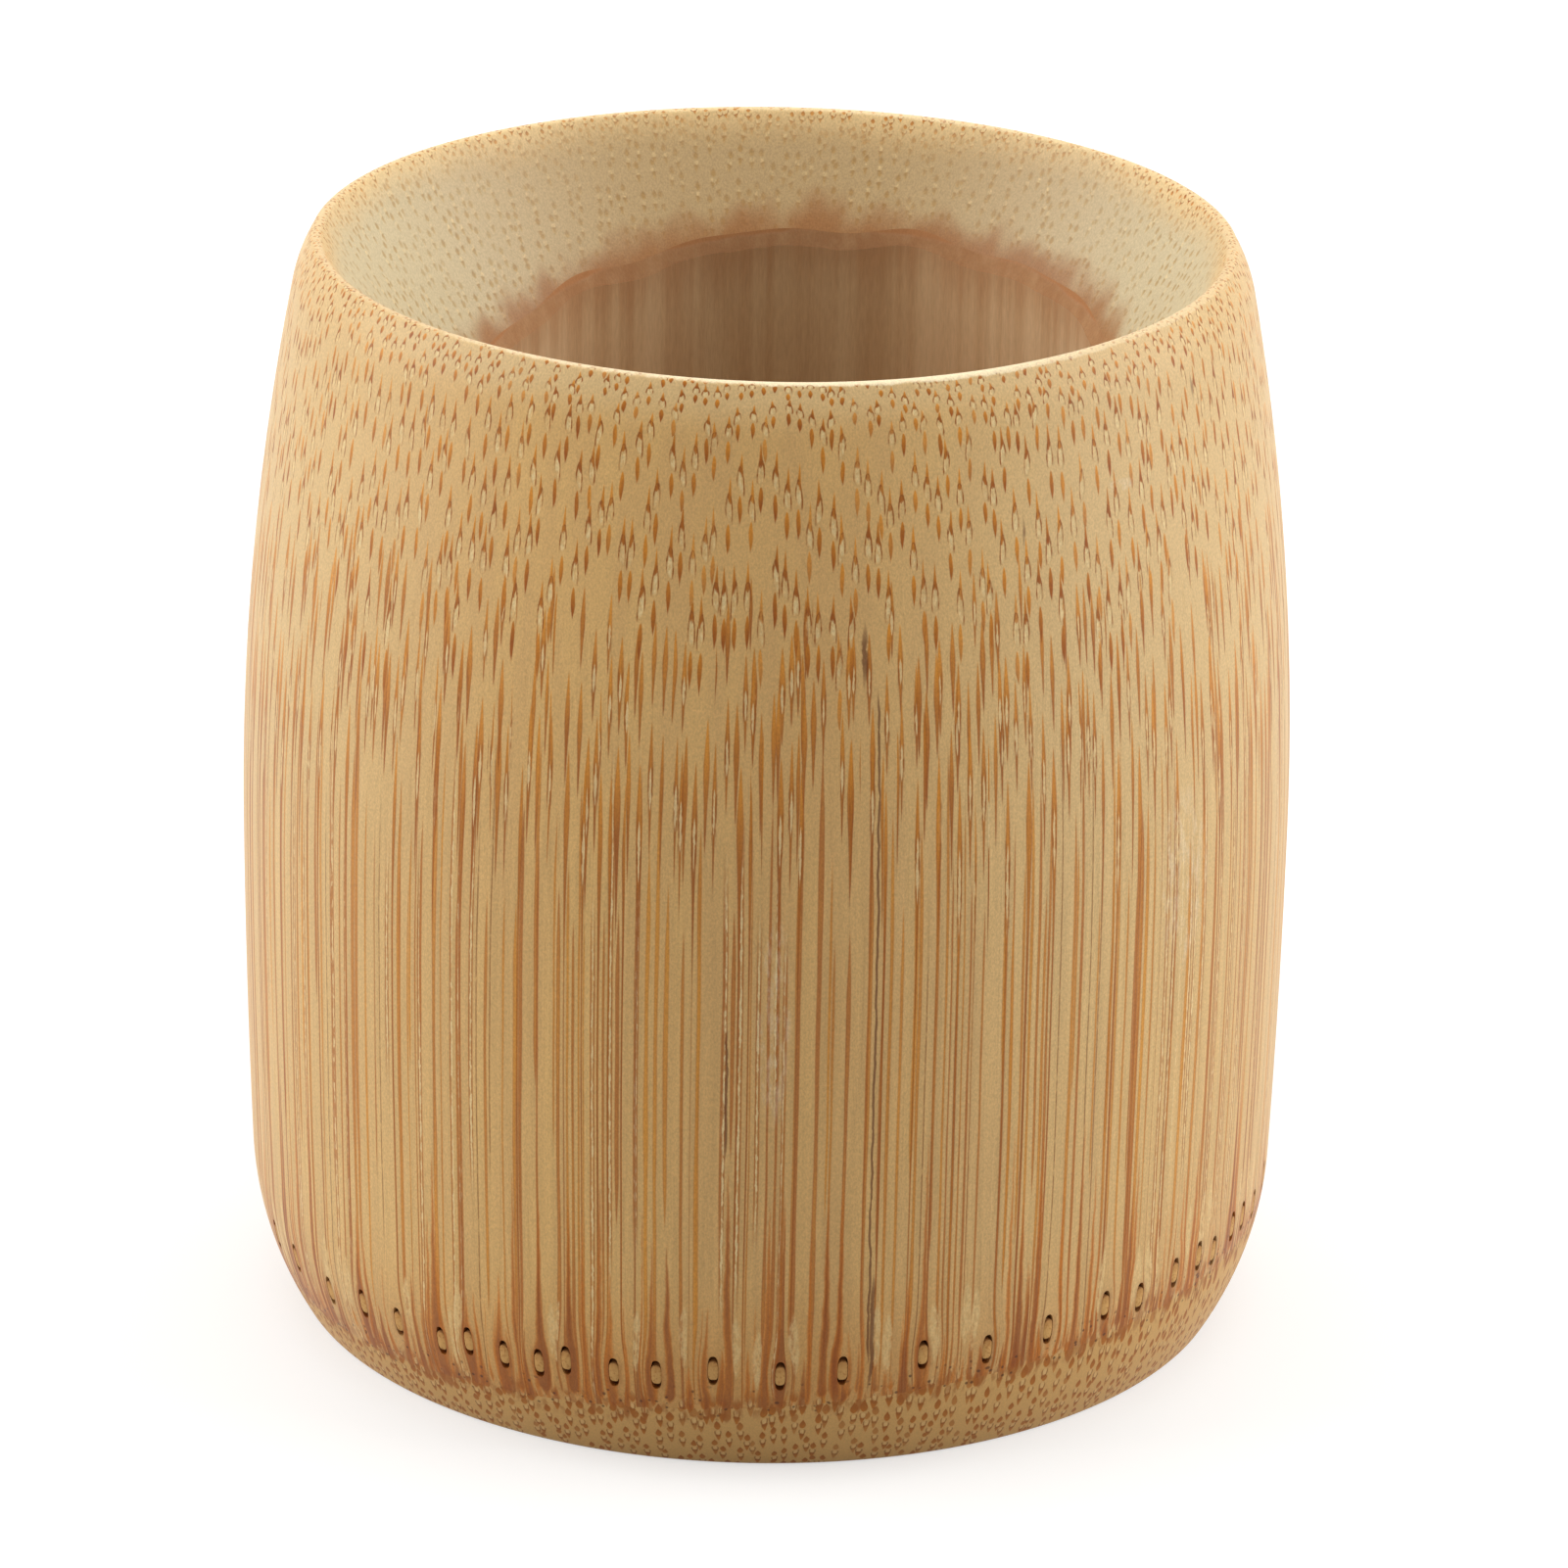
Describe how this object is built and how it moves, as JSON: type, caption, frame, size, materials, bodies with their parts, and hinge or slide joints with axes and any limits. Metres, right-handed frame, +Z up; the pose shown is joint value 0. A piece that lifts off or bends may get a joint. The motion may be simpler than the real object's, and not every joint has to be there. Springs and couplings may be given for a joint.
{
  "type": "bamboo cup",
  "caption": "Thick-walled bamboo drinking cup: barrel-shaped turned side, funnel mouth running into the culm's natural hollow, and a grown node for its floor.",
  "frame": {"origin": "on the table, under the middle of the cup's turned side", "axes": "+Z up along the turning axis, -Y towards the front in the picture, +X to the front's right"},
  "size_m": [0.076, 0.076, 0.08],
  "materials": {
    "bamboo": "turned, sanded and clear-lacquered bamboo, satin",
    "bamboo_foot": "turned, sanded and clear-lacquered bamboo, satin",
    "septum": "grown bamboo septum, matt",
    "pith_skin": "natural brown pith skin, matt",
    "root_tissue": "pale root tissue, sanded flush"
  },
  "bodies": {
    "root": {"culm_wall": "bamboo", "foot_ring": "bamboo_foot", "node_septum": "septum", "pith_lining": "pith_skin", "root_traces": "root_tissue"}
  },
  "joints": []
}
